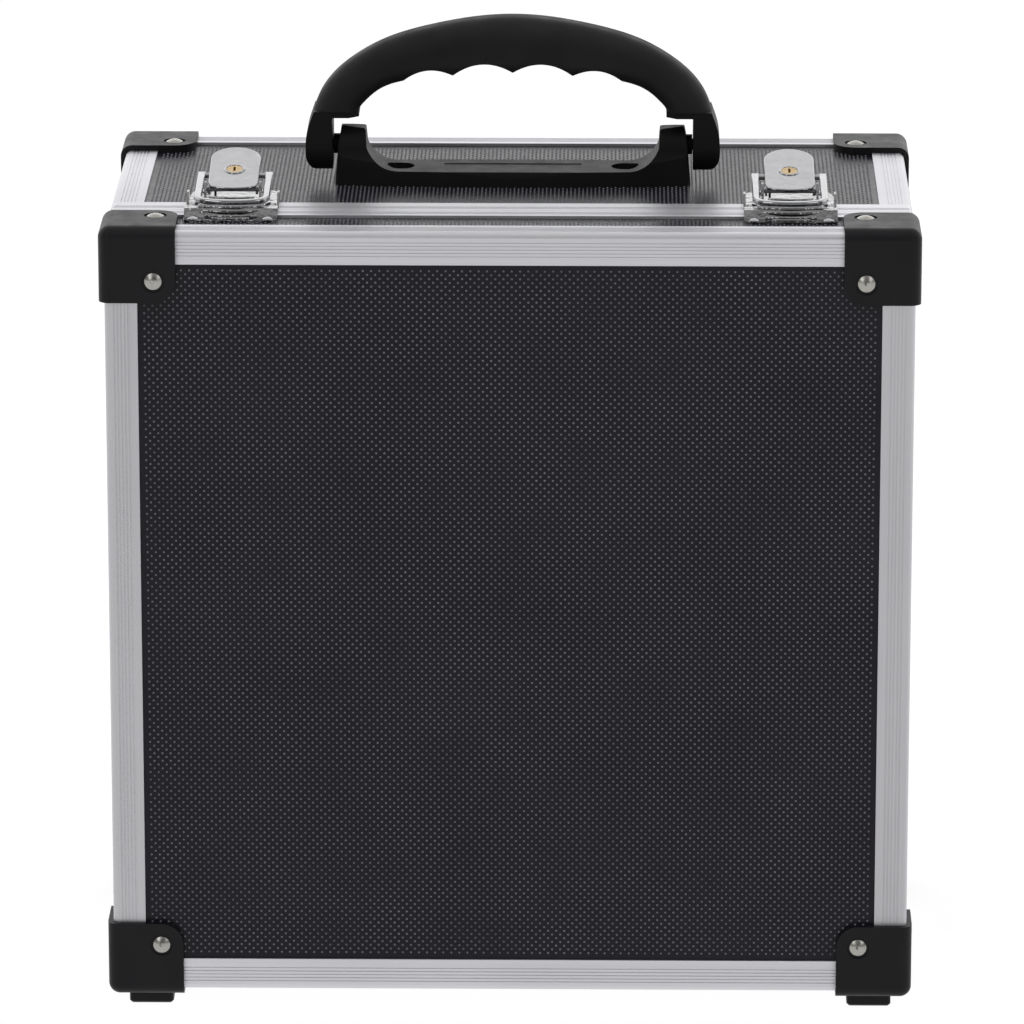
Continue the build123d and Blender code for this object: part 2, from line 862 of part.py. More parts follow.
def handle_fasteners():
    head_top = counterbore_floor + screw_head_height
    thread_end = inner + backing_thickness + boss_height
    with BuildPart() as screws:
        bore(handle_screw_points, DOWN, screw_head, -head_top, -counterbore_floor, mode=Mode.ADD)
        fillet(screws.edges().group_by(Axis.Z)[-1], screw_head_rounding)
        bore(handle_screw_points, DOWN, screw_shank, -counterbore_floor, thread_end, mode=Mode.ADD)
        slots = ((drive_slot_half, drive_slot_width / 2), (drive_slot_width / 2, drive_slot_half))
        for x, y, z in handle_screw_points:
            top = z + head_top
            floor = top - drive_slot_depth
            for half_x, half_y in slots:
                block((x - half_x, y - half_y, floor), (x + half_x, y + half_y, top), Mode.SUBTRACT)
    keep(screws, "handle_screws")

    with BuildPart() as plate:
        block(
            (-backing_half_length, handle_y - backing_half_width, top_z - inner),
            (backing_half_length, handle_y + backing_half_width, top_z - inner - backing_thickness),
        )
        fillet(plate.edges().filter_by(Axis.Z), backing_rounding)
        boss_start = inner + backing_thickness / 2
        bore(handle_screw_points, DOWN, boss_radius, boss_start, thread_end, mode=Mode.ADD)
        bore(handle_screw_points, DOWN, screw_shank + hole_play, inner - 1, thread_end + 1)
    keep(plate, "handle_backing_plate")


def arch(outer, under):
    """A closed band over the handle, symmetrical, from two lists of points on its right half."""
    with BuildLine() as band:
        rise = Spline(*outer, tangents=((1, 0), (seam_lean, -1)))
        back = Spline(*under, tangents=((1, 0), (under_lean, -1)))
        Line(rise @ 1, back @ 1)
        mirror(about=Plane.YZ)
    make_face(band.edges())


def above_pivot(points):
    """Points given by their height over the pivot, as heights over the rail face."""
    return [(x, pivot_height + y) for x, y in points]


def handle_core():
    """The hard frame: a bar hidden in the grip, two shoulders and two lobes."""
    seam_x = lobe_outer - lobe_taper
    shoulder = pivot_height + shoulder_gap
    lobe_top = (seam_x, seam_height)
    lobe_foot = pivot_height - lobe_drop
    toe = (lobe_inner + lobe_toe, lobe_foot)
    sole = (lobe_inner + lobe_sole[0], lobe_foot + lobe_sole[1])
    side_point = (lobe_outer, pivot_height - lobe_heel[0])
    heel = (lobe_outer - lobe_heel_inset, side_point[1] + lobe_heel[1])
    core_outer = above_pivot([(0, core_crown), *core_bends, (seam_x - core_root, core_seam)])
    core_inner = above_pivot([(0, core_under), *core_under_bends, (seam_x - core_root_inner, core_seam)])
    with BuildPart() as core:
        with BuildSketch(handle_front_plane()):
            with BuildLine():
                Polyline(
                    lobe_top,
                    (grip_end_inner, seam_height),
                    (grip_end_inner, shoulder + shoulder_bevel[1]),
                    (grip_end_inner + shoulder_bevel[0], shoulder),
                    (lobe_inner, shoulder),
                    (lobe_inner, lobe_foot),
                    toe,
                )
                Spline(toe, sole, side_point, tangents=((1, 0.15), (0.05, 1)))
                Spline(side_point, heel, lobe_top, tangents=((0, 1), (-seam_lean, 1)))
            make_face()
            mirror(about=Plane.YZ)
        extrude(amount=grip_half_depth, both=True)
        with BuildSketch(handle_side_plane()):
            with Locations((0, pivot_height)):
                Circle(lobe_half_depth)
                Rectangle(2 * lobe_half_depth, seam_height, align=(Align.CENTER, Align.MIN))
        extrude(amount=case_width / 2, both=True, mode=Mode.INTERSECT)
        with BuildSketch(handle_front_plane()):
            arch(core_outer, core_inner)
        extrude(amount=core_half_depth, both=True)
        for side in (-1, 1):
            start = (side * post_outer, handle_y, top_z + pivot_height)
            end = pivot_pin_outer + pin_end_play - post_outer
            bore([start], (side, 0, 0), pivot_pin + hole_play, 0, end)
    keep(core, "handle_core")
    return core


def handle_grip(core):
    """The soft grip, moulded round the core, with finger scallops on its underside."""
    outer_line = above_pivot([(0, grip_crown), *grip_shoulders, (lobe_outer - lobe_taper, core_seam)])
    under_line = above_pivot([(0, grip_under), *grip_under_bends, (grip_end_inner, core_seam)])
    with BuildPart() as grip:
        with BuildSketch(handle_front_plane()):
            arch(outer_line, under_line)
        extrude(amount=grip_half_depth, both=True)
        rims = grip.edges().filter_by(GeomType.BSPLINE)
        outer = rims.filter_by(lambda e: e.bounding_box().max.Z > top_z + crown_height - 1)
        fillet(outer, grip_outer_rounding)
        rims = grip.edges().filter_by(GeomType.BSPLINE)
        under = rims.filter_by(
            lambda e: abs(abs((e @ 0.5).Y - handle_y) - grip_half_depth) < 0.01
            and e.bounding_box().max.Z < top_z + pivot_height + grip_under + 1
        )
        fillet(under, grip_inner_rounding)
        for place, top, radius in zip(scallop_centres, scallop_tops, scallop_radii):
            for side in (-1, 1):
                with BuildSketch(handle_front_plane()):
                    with Locations((side * place, pivot_height + top - radius)):
                        Circle(radius)
                extrude(amount=grip_half_depth + 1, both=True, mode=Mode.SUBTRACT)
        add(core.part, mode=Mode.SUBTRACT)
    keep(grip, "handle_grip")


def handle_pins():
    with BuildPart() as pins:
        for side in (-1, 1):
            start = (side * pivot_pin_inner, handle_y, top_z + pivot_height)
            bore([start], (side, 0, 0), pivot_pin, 0, pivot_pin_outer - pivot_pin_inner, mode=Mode.ADD)
    keep(pins, "handle_pins")


# Latches: depths run back from the front rail face, heights up from the top rail face

def latch_side_plane(centre):
    return Plane(origin=(centre, front_y, top_z), x_dir=(0, 1, 0), z_dir=(1, 0, 0))


def latch_box(centre, low, high, mode=Mode.ADD):
    """A box given as (across, depth, height) about a latch's middle."""
    place = (centre, front_y, top_z)
    block([p + s for p, s in zip(place, low)], [p + s for p, s in zip(place, high)], mode)


def lever_direction():
    tilt = math.radians(lever_tilt)
    return math.cos(tilt), math.sin(tilt)


def lever_side_plane(centre):
    """Across the lever: x along it from its pivot, y square to its plate."""
    run, rise = lever_direction()
    pivot = (centre, front_y + lever_pivot_depth, top_z + lever_pivot_height)
    return Plane(origin=pivot, x_dir=(0, run, rise), z_dir=(1, 0, 0))


def lever_plate_plane(centre, height):
    """On the lever: x along it from its pivot, y across, at a height over the pivot's axis."""
    run, rise = lever_direction()
    pivot = Vector(centre, front_y + lever_pivot_depth, top_z + lever_pivot_height)
    normal = Vector(0, -rise, run)
    return Plane(origin=pivot + normal * height, x_dir=(0, run, rise), z_dir=normal)


def on_lever(depth, height):
    """A depth and height of the latch, seen along and square to the lever."""
    run, rise = lever_direction()
    back, up = depth - lever_pivot_depth, height - lever_pivot_height
    return back * run + up * rise, up * run - back * rise


def cross_pin(centre, depth, height, radius, start, end, mode):
    """Pegs or holes across the latch on both sides of its middle, between two offsets."""
    for side in (-1, 1):
        point = (centre + side * start, front_y + depth, top_z + height)
        bore([point], (side, 0, 0), radius, 0, end - start, mode=mode)


def keeper(centre, name):
    """The plate on the lid: a pressed seat under the bail and a bowed lip that holds it."""
    ramp = lip_front - seat_length
    slope = sheet * 0.7
    lip_radius = bow_radius - bail_thickness / 2 - bar_play
    with BuildPart() as piece:
        with BuildSketch(Plane(origin=(centre, front_y, top_z + sheet / 2))):
            with Locations((0, lip_front + lip_radius)):
                Circle(lip_radius)
                Circle(lip_radius - lip_thickness, mode=Mode.SUBTRACT)
            with Locations((0, lip_front)):
                Rectangle(2 * lip_half_width, 2 * lip_half_width, mode=Mode.INTERSECT)
        extrude(amount=lip_top - sheet / 2)
        fillet(piece.edges().group_by(Axis.Z)[-1], lip_crest)
        with BuildSketch(latch_side_plane(centre)):
            with BuildLine():
                Polyline(
                    (keeper_front, -wall),
                    (keeper_front, sheet - wall),
                    (ramp - seat_rise, sheet - wall),
                    (ramp, seat_height),
                    (lip_front, seat_height),
                    (lip_back, sheet),
                    (keeper_back, sheet),
                    (keeper_back, 0),
                    (lip_back - slope, 0),
                    (lip_front - slope, seat_height - sheet),
                    (ramp + slope, seat_height - sheet),
                    (ramp + slope - seat_rise, -wall),
                    close=True,
                )
            make_face()
        extrude(amount=keeper_half_width, both=True)
        fillet(piece.edges().filter_by(Axis.Z).group_by(Axis.Y)[0], keeper_rounding)
        bore(near(keeper_rivets, centre), DOWN, small_shank + hole_play, -seat_height, wall + 1)
    keep(piece, name)


def near(points, centre):
    """Those points that belong to the latch at this offset."""
    return [point for point in points if abs(point[0] - centre) < latch_offset]


def latch_base(centre, name):
    with BuildPart() as piece:
        with BuildSketch(latch_side_plane(centre)):
            with BuildLine():
                Polyline(
                    (base_front, 0),
                    (base_front, sheet),
                    (frame_step + sheet, sheet),
                    (frame_step + sheet + base_step, sheet - wall),
                    (base_back, sheet - wall),
                    (base_back, -wall),
                    (frame_step + base_step, -wall),
                    (frame_step + sheet / 2, 0),
                    close=True,
                )
            make_face()
        extrude(amount=base_half_front, both=True)
        with BuildSketch(Plane(origin=(centre, front_y, top_z))):
            with BuildLine():
                Polyline(
                    (-base_half_front, base_front),
                    (base_half_front, base_front),
                    (base_half_front, base_front + cheek_span[1]),
                    (base_half_back, base_back),
                    (-base_half_back, base_back),
                    (-base_half_front, base_front + cheek_span[1]),
                    close=True,
                )
            make_face()
            fillet(vertices().group_by(Axis.Y)[-1], base_back_rounding)
            fillet(vertices().group_by(Axis.Y)[0], base_front_rounding)
        extrude(amount=2 * wall, both=True, mode=Mode.INTERSECT)
        for side in (-1, 1):
            with BuildSketch(latch_side_plane(centre + side * ear_inner)):
                with Locations((lever_pivot_depth, lever_pivot_height)):
                    Circle(ear_radius)
                with Locations((lever_pivot_depth - ear_half_foot / 2, sheet)):
                    Rectangle(2 * ear_half_foot, sheet)
                make_hull()
            extrude(amount=side * sheet)
            with BuildSketch(latch_side_plane(centre + side * base_half_front)):
                with BuildLine():
                    low, high = base_front + cheek_span[0], base_front + cheek_span[1]
                    Polyline(
                        (low, sheet / 2),
                        (low + cheek_slope / 2, cheek_top - cheek_slope / 2),
                        (low + cheek_slope, cheek_top),
                        (high - cheek_top - sheet, cheek_top),
                        (high - base_step, sheet / 2 - wall),
                        (frame_step + sheet + base_step / 2, sheet / 2 - wall),
                        (frame_step + sheet, sheet / 2),
                        close=True,
                    )
                make_face()
            extrude(amount=-side * sheet)
        strike_back = strike_front + strike_length
        strike_foot = sheet / 2 - wall
        strike_top = strike_under + sheet
        latch_box(
            centre,
            (strike_web, strike_front, strike_foot),
            (strike_web - sheet, strike_back, strike_top),
        )
        latch_box(
            centre,
            (strike_web - sheet, strike_front, strike_under),
            (strike_lip, strike_back, strike_top),
        )
        cross_pin(
            centre, lever_pivot_depth, lever_pivot_height, lever_pin + hole_play,
            lever_half_width, ear_inner + 2 * sheet, Mode.SUBTRACT,
        )
        holes = near(base_front_rivets + base_back_rivets, centre)
        bore(holes, DOWN, small_shank + hole_play, -2 * sheet, wall + 1)
    keep(piece, name)


def lever_pins():
    half = ear_inner + sheet + pin_proud
    with BuildPart() as pins:
        for side in (-1, 1):
            start = (side * latch_offset - half, front_y + lever_pivot_depth, top_z + lever_pivot_height)
            bore([start], RIGHT, lever_pin, 0, 2 * half, mode=Mode.ADD)
    keep(pins, "lever_pins")


def lever(centre, name):
    """A D-shaped plate bowed over its pin, with a flange down each side."""
    bail_place = on_lever(bail_pivot_depth, bail_pivot_height)
    round_centre = lever_length - lever_half_width
    with BuildPart() as piece:
        with BuildSketch(lever_plate_plane(centre, under_plate)):
            with BuildLine():
                Line((round_centre, -lever_half_width), (-lever_front, -lever_half_width))
                ThreePointArc(
                    (-lever_front, -lever_half_width),
                    (-lever_front - lever_bow, 0),
                    (-lever_front, lever_half_width),
                )
                Line((-lever_front, lever_half_width), (round_centre, lever_half_width))
                ThreePointArc(
                    (round_centre, lever_half_width),
                    (lever_length, 0),
                    (round_centre, -lever_half_width),
                )
            make_face()
            fillet(vertices().group_by(Axis.X)[0], lever_front_rounding)
        extrude(amount=lever_plate)
        plate_normal = Axis((0, 0, 0), tuple(lever_plate_plane(centre, 0).z_dir))
        fillet(piece.faces().sort_by(plate_normal)[-1].edges(), lever_edge)
        for side in (-1, 1):
            with BuildSketch(lever_side_plane(centre + side * lever_half_width)):
                Circle(lever_boss)
                with Locations(bail_place):
                    Circle(lever_boss)
                with Locations((lever_flange_end, under_plate - sheet)):
                    Circle(sheet)
                make_hull()
                with Locations((0, lever_top - lever_edge)):
                    Rectangle(
                        2 * lever_length,
                        lever_boss,
                        align=(Align.CENTER, Align.MIN),
                        mode=Mode.SUBTRACT,
                    )
            extrude(amount=-side * sheet)
        cross_pin(
            centre, lever_pivot_depth, lever_pivot_height, lever_pin + hole_play,
            lever_half_width - 2 * sheet, lever_half_width + sheet, Mode.SUBTRACT,
        )
        cross_pin(
            centre, bail_pivot_depth, bail_pivot_height, bail_pin + hole_play,
            lever_half_width - 2 * sheet, lever_half_width + sheet, Mode.SUBTRACT,
        )
        with BuildSketch(lever_plate_plane(centre, under_plate - 1)):
            with Locations((plug_place, 0)):
                Circle(plug_radius + hole_play)
        extrude(amount=lever_plate + 2, mode=Mode.SUBTRACT)
    keep(piece, name)


def bow_outline(half_width, radius, back, middle_reach, rounding):
    """A tongue between two arms, from back to a bowed end with rounded corners."""
    end = middle_reach - radius + math.sqrt(radius**2 - half_width**2)
    with BuildSketch() as tongue:
        with BuildLine():
            Line((-back, -half_width), (end, -half_width))
            ThreePointArc((end, -half_width), (middle_reach, 0), (end, half_width))
            Line((end, half_width), (-back, half_width))
            Line((-back, half_width), (-back, -half_width))
        make_face()
        fillet(vertices().group_by(Axis.X)[-1], rounding)
    return tongue.sketch


def bail(centre, name):
    """A loop that hooks over the keeper: two arms and a bowed bar."""
    back, drop = bail_pivot_depth - bar_depth, bail_pivot_height - bar_height
    reach = math.hypot(back, drop)
    run, rise = back / reach, drop / reach
    pivot = (centre, front_y + bail_pivot_depth, top_z + bail_pivot_height)
    half_bar = bail_thickness / 2
    arm = bail_outer - bail_inner
    with BuildPart() as piece:
        with BuildSketch(Plane(origin=pivot, x_dir=(0, -run, -rise), z_dir=(0, -rise, run))):
            add(bow_outline(bail_outer, bow_radius + half_bar, lever_boss, reach + half_bar, bail_rounding))
            add(
                bow_outline(
                    bail_inner, bow_radius - half_bar, 2 * lever_boss, reach - half_bar, bail_rounding - arm
                ),
                mode=Mode.SUBTRACT,
            )
        extrude(amount=half_bar, both=True)
        layers = piece.faces().sort_by(Axis((0, 0, 0), (0, -rise, run)))
        fillet(layers[0].edges() + layers[-1].edges(), bail_edge)
        cross_pin(
            centre, bail_pivot_depth, bail_pivot_height, bail_pin,
            lever_half_width - 2 * sheet, bail_inner + half_bar, Mode.ADD,
        )
    keep(piece, name)


def lock_plug(centre, name):
    plug_top = lever_top + plug_proud
    with BuildPart() as piece:
        with BuildSketch(lever_plate_plane(centre, plug_bottom)):
            with Locations((plug_place, 0)):
                Circle(plug_radius)
        extrude(amount=plug_top - plug_bottom)
        with BuildSketch(lever_plate_plane(centre, under_plate - collar_play)):
            with Locations((plug_place, 0)):
                Circle(collar_radius)
        extrude(amount=-collar_height)
        with BuildSketch(lever_plate_plane(centre, plug_bottom)):
            with Locations((plug_place, 0)):
                Circle(cam_half_width)
                Rectangle(cam_length, 2 * cam_half_width, align=(Align.MIN, Align.CENTER))
        extrude(amount=-cam_thickness)
        with BuildSketch(lever_plate_plane(centre, plug_top)):
            with Locations((plug_place, 0)):
                Rectangle(key_slot_length, key_slot_width)
        extrude(amount=-key_slot_depth, mode=Mode.SUBTRACT)
    keep(piece, name)


def latches():
    for side, name in ((-1, "left"), (1, "right")):
        centre = side * latch_offset
        keeper(centre, f"{name}_keeper")
        latch_base(centre, f"{name}_latch_base")
        lever(centre, f"{name}_lever")
        bail(centre, f"{name}_bail")
        lock_plug(centre, f"{name}_lock_plug")
    lever_pins()


# Hinges under the case, with their axis in the plane of the split

def hinge_leaves(name, face, reach, rivet_points):
    """Leaves of both hinges for the lid (face -1) or the body (face 1)."""
    axis_z = bottom_z - hinge_drop
    leaf_top, leaf_bottom = bottom_z, bottom_z - leaf_thickness
    edge = leaf_half_width + sheet
    body_knuckle = lid_knuckle_half + knuckle_gap
    if face > 0:
        knuckles = [(-leaf_half_width, -body_knuckle), (body_knuckle, leaf_half_width)]
        reliefs = [(-body_knuckle, body_knuckle)]
    else:
        knuckles = [(-lid_knuckle_half, lid_knuckle_half)]
        reliefs = [(-edge, -lid_knuckle_half), (lid_knuckle_half, edge)]
    clear_of_knuckle = face * (knuckle_radius + leaf_relief)
    with BuildPart() as leaves:
        for side in (-1, 1):
            centre = side * hinge_offset
            block(
                (centre - leaf_half_width, split_y, leaf_bottom),
                (centre + leaf_half_width, split_y + face * reach, leaf_top),
            )
            for low, high in knuckles:
                start = (centre + low, split_y, axis_z)
                bore([start], RIGHT, knuckle_radius, 0, high - low, mode=Mode.ADD)
            for low, high in reliefs:
                block(
                    (centre + low, split_y - clear_of_knuckle, leaf_bottom - knuckle_radius),
                    (centre + high, split_y + clear_of_knuckle, leaf_top + knuckle_radius),
                    mode=Mode.SUBTRACT,
                )
            bore([(centre - leaf_half_width - 1, split_y, axis_z)], RIGHT,
                 hinge_pin_radius + hole_play, 0, 2 * leaf_half_width + 2)
        bore(rivet_points, UP, small_shank + hole_play, -leaf_thickness - 1, 1)
    keep(leaves, name)


def hinges():
    hinge_leaves("body_hinge_leaves", 1, leaf_reach_body, body_hinge_rivets)
    hinge_leaves("lid_hinge_leaves", -1, leaf_reach_lid, lid_hinge_rivets)
    with BuildPart() as pins:
        for side in (-1, 1):
            start = (side * hinge_offset - leaf_half_width, split_y, bottom_z - hinge_drop)
            bore([start], RIGHT, hinge_pin_radius, 0, 2 * leaf_half_width, mode=Mode.ADD)
    keep(pins, "hinge_pins")


all_rails()
boards()
frames()
corner_protectors()
all_rivets()
linings()
divider()
handle_base()
handle_fasteners()
handle_grip(handle_core())
handle_pins()
latches()
hinges()
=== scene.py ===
import json
import math

import bmesh
import bpy
from mathutils import Matrix, Vector


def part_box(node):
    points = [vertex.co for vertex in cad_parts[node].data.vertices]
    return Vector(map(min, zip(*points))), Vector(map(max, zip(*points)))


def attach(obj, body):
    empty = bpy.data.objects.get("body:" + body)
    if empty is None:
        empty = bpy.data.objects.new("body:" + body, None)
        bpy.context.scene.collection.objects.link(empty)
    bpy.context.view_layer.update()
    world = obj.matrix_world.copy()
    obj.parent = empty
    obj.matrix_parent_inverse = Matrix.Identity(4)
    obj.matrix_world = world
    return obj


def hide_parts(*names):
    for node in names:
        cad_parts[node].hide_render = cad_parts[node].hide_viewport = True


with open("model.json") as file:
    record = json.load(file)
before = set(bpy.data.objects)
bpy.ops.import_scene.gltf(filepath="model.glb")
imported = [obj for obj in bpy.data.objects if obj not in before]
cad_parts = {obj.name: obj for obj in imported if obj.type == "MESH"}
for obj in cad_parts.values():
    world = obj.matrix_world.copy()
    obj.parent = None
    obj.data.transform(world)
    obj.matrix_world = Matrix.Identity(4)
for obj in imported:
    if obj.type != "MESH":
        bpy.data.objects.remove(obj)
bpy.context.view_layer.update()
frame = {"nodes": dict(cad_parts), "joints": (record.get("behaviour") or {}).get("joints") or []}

MM = 0.001
nodes = frame["nodes"]

# Camera, from the photograph's viewing angle
camera_distance = 3.3
camera_elevation = 15.72
camera_turn = -0.81
camera_aim = Vector((-0.0003, 0.0, 0.1998))
camera_lens = 262.6

# Where the floor thins out towards the viewer, and what is left of it there
floor_fade = (-0.07, 0.03)
floor_front_share = 0.05
floor_half_size = 6.0
floor_grey = 0.42
floor_glow = 0.75

# Light. A level behind or before the case is (from height, to height, first level, last level),
# where height is the upward part of the direction looked in
soft_light = 0.45
level_behind = (0.4, 0.95, 1.5, 0.75)
level_before = (0.5, 0.95, 0.14, 0.8)
level_below = 0.95
front_to_back = (-0.4, 0.05)
horizon = (-0.06, 0.02)
light_aim = (0, 0, 0.2)
softboxes = (
    # name, place, size, power in watts, mirrored in metal
    ("overhead_softbox", (0, -0.3, 2.3), (3.0, 2.6), 30, False),
    ("left_softbox", (-1.2, -2.1, 1.4), (0.8, 1.5), 8, True),
    ("right_softbox", (1.4, -1.9, 1.3), (0.8, 1.5), 6, True),
)

# Raised dots of the boards: two in a cell
dot_pitch_across = 3.52 * MM
dot_pitch_up = 3.42 * MM
dot_radius = 0.56 * MM
dot_top = 0.3 * MM
dot_height = 0.3 * MM
dot_sides = 6
rail_margin = 0.9 * MM

# Foam in the lid and the thin lining of the body
wave_pitch = 26 * MM
wave_depth = 5 * MM
wave_steps = 8
wave_border = 14 * MM
foam_edge = 1.4 * MM
seam_inset = 7 * MM
seam_width = 1.1 * MM
seam_depth = 0.5 * MM
lining_edge = 0.7 * MM
window_play = 0.5 * MM

# Height of a lever's upper face over the plane of its pivot
lever_face = 2.6 * MM

# Pressed beads of the keepers: each one's place behind the keeper's front, its height over the
# keeper's foot, its radius and its half width, in mm
bead_bow = 41 * MM
beads = (
    (9.0, 4.6, 1.0, 14.0),
    (7.0, 3.2, 1.0, 12.8),
    (4.9, 1.5, 0.9, 11.0),
    (2.6, 1.1, 0.6, 8.0),
)
bead_sides = 12
bead_steps = 20

# Bright rings round the lock plugs
ring_inner = 3.55 * MM
ring_outer = 4.6 * MM
ring_height = 0.5 * MM
ring_shoulder = 0.25 * MM
ring_steps = 40


# Materials

def ramp(tree, source, start, end, low=0.0, high=1.0):
    """A number that goes from low to high as the source goes from start to end."""
    made = tree.nodes.new("ShaderNodeMapRange")
    for socket, value in (
        ("From Min", start), ("From Max", end), ("To Min", low), ("To Max", high)
    ):
        made.inputs[socket].default_value = value
    tree.links.new(source, made.inputs["Value"])
    return made.outputs["Result"]


def either_ray(tree, first, second):
    """One where Light Path names a ray as the first or the second kind, otherwise zero."""
    light_path = tree.nodes.new("ShaderNodeLightPath")
    seen = tree.nodes.new("ShaderNodeMath")
    seen.operation = "MAXIMUM"
    tree.links.new(light_path.outputs[first], seen.inputs[0])
    tree.links.new(light_path.outputs[second], seen.inputs[1])
    return seen.outputs[0]


class Finish:
    """A material's node tree, with the few nodes that the finishes below are made of."""

    def __init__(self, name, color, metallic=0.0, roughness=0.5, specular=0.5):
        self.material = bpy.data.materials.new(name)
        self.material.use_nodes = True
        self.tree = self.material.node_tree
        self.shader = self.tree.nodes["Principled BSDF"]
        self.set("Base Color", (*color, 1))
        self.set("Metallic", metallic)
        self.set("Roughness", roughness)
        self.set("Specular IOR Level", specular)
        self.place = self.node("ShaderNodeTexCoord").outputs["Object"]

    def node(self, kind, **values):
        made = self.tree.nodes.new(kind)
        for name, value in values.items():
            setattr(made, name, value)
        return made

    def set(self, socket, value):
        self.shader.inputs[socket].default_value = value

    def link(self, output, target):
        self.tree.links.new(output, target)

    def stretched(self, scale):
        """Object coordinates, scaled apart along the three axes."""
        mapping = self.node("ShaderNodeMapping")
        mapping.inputs["Scale"].default_value = scale
        self.link(self.place, mapping.inputs["Vector"])
        return mapping.outputs["Vector"]

    def noise(self, scale, detail=3.0, roughness=0.55, vector=None):
        made = self.node("ShaderNodeTexNoise")
        made.inputs["Scale"].default_value = scale
        made.inputs["Detail"].default_value = detail
        made.inputs["Roughness"].default_value = roughness
        self.link(vector or self.place, made.inputs["Vector"])
        return made.outputs["Fac"]

    def cells(self, scale):
        made = self.node("ShaderNodeTexVoronoi", feature="F1")
        made.inputs["Scale"].default_value = scale
        self.link(self.place, made.inputs["Vector"])
        return made.outputs["Distance"]

    def between(self, factor, low, high, start=0.3, end=0.7):
        return ramp(self.tree, factor, start, end, low, high)

    def blend(self, factor, first, second):
        """A colour between two, or between a colour and a socket."""
        made = self.node("ShaderNodeMix", data_type="RGBA")
        self.link(factor, made.inputs["Factor"])
        for socket, value in ((made.inputs["A"], first), (made.inputs["B"], second)):
            if isinstance(value, tuple):
                socket.default_value = (*value, 1)
            else:
                self.link(value, socket)
        return made.outputs["Result"]

    def color(self, output):
        self.link(output, self.shader.inputs["Base Color"])

    def rough(self, output):
        self.link(output, self.shader.inputs["Roughness"])

    def bump(self, *layers):
        """Relief from (height output, strength, distance) layers, one over another."""
        below = None
        for height, strength, distance in layers:
            made = self.node("ShaderNodeBump")
            made.inputs["Strength"].default_value = strength
            made.inputs["Distance"].default_value = distance
            self.link(height, made.inputs["Height"])
            if below:
                self.link(below, made.inputs["Normal"])
            below = made.outputs["Normal"]
        self.link(below, self.shader.inputs["Normal"])


def moulded_black(name, color, grain, roughness, specular):
    """Black moulded plastic: fine spark grain, faint cloudiness and handling marks."""
    finish = Finish(name, color, 0.0, roughness, specular)
    cloud = finish.noise(26, 4)
    paler = tuple(1.45 * c for c in color)
    finish.color(finish.blend(finish.between(cloud, 0.0, 1.0), color, paler))
    scuffs = finish.noise(90, 5, 0.7)
    finish.rough(finish.between(scuffs, roughness - 0.06, roughness + 0.09))
    finish.bump(
        (finish.noise(grain, 2, 0.6), 0.35, 0.00006),
        (finish.cells(grain * 0.8), 0.2, 0.00005),
    )
    return finish.material


def board_black():
    """Pressed ABS sheet between its raised dots: a shallow leathery grain."""
    base, pale = (0.0052, 0.0049, 0.0092), (0.0090, 0.0086, 0.0142)
    finish = Finish("board_black", base, 0.0, 0.5, 0.2)
    cloud = finish.noise(14, 4)
    finish.color(finish.blend(finish.between(cloud, 0.0, 1.0), base, pale))
    finish.rough(finish.between(finish.noise(300, 3), 0.27, 0.37))
    finish.bump((finish.noise(1400, 3, 0.6), 0.4, 0.00008), (finish.noise(420, 2), 0.25, 0.0001))
    return finish.material


def board_dots_wear_and_sheen():
    """The tops of the raised dots, paler and glossier than the sheet. The paler colour is partly
    rubbed wear and partly a painted sheen that stands in for the highlights on the dot tops.
    """
    base, pale = (0.105, 0.104, 0.114), (0.185, 0.183, 0.196)
    finish = Finish("board_dots_wear_and_sheen", base, 0.0, 0.36, 0.5)
    finish.color(finish.blend(finish.between(finish.noise(60, 4), 0.0, 1.0), base, pale))
    finish.rough(finish.between(finish.noise(900, 2), 0.22, 0.34))
    finish.bump((finish.noise(3000, 2), 0.2, 0.00003))
    return finish.material


def aluminium(name, along, level):
    """Satin anodised extrusion, with die lines along one axis and a few handling marks."""
    base = (level, level, 1.045 * level)
    pale = (1.09 * level, 1.09 * level, 1.13 * level)
    finish = Finish(name, base, 1.0, 0.48, 0.5)
    fine = [900.0, 900.0, 900.0]
    fine[along] = 4.0
    lines = finish.noise(1, 3, 0.6, finish.stretched(tuple(fine)))
    broad = finish.noise(9, 3)
    tone = finish.between(lines, 0.0, 1.0, 0.25, 0.75)
    finish.color(finish.blend(tone, base, pale))
    finish.rough(finish.between(broad, 0.43, 0.54))
    finish.bump((lines, 0.08, 0.00003), (finish.noise(2600, 2), 0.05, 0.00002))
    return finish.material


def plated(name, color, roughness, spread, waviness, depth=0.0001):
    """Bright plating: nearly a mirror, with faint polish haze and uneven pressing below it."""
    finish = Finish(name, color, 1.0, roughness, 0.5)
    haze = finish.noise(160, 4, 0.65)
    duller = tuple(0.86 * c for c in color)
    finish.color(finish.blend(finish.between(haze, 0.0, 1.0), color, duller))
    finish.rough(finish.between(finish.noise(700, 3), roughness, roughness + spread))
    finish.bump((finish.noise(220, 2), waviness, depth), (finish.noise(4200, 2), 0.06, 0.00001))
    return finish.material


def brass():
    base, dark = (0.60, 0.45, 0.25), (0.42, 0.30, 0.15)
    finish = Finish("lock_brass", base, 1.0, 0.24, 0.5)
    finish.color(finish.blend(finish.between(finish.noise(500, 4), 0.0, 1.0), base, dark))
    finish.rough(finish.between(finish.noise(900, 3), 0.2, 0.36))
    finish.bump((finish.noise(1600, 3), 0.15, 0.00003))
    return finish.material


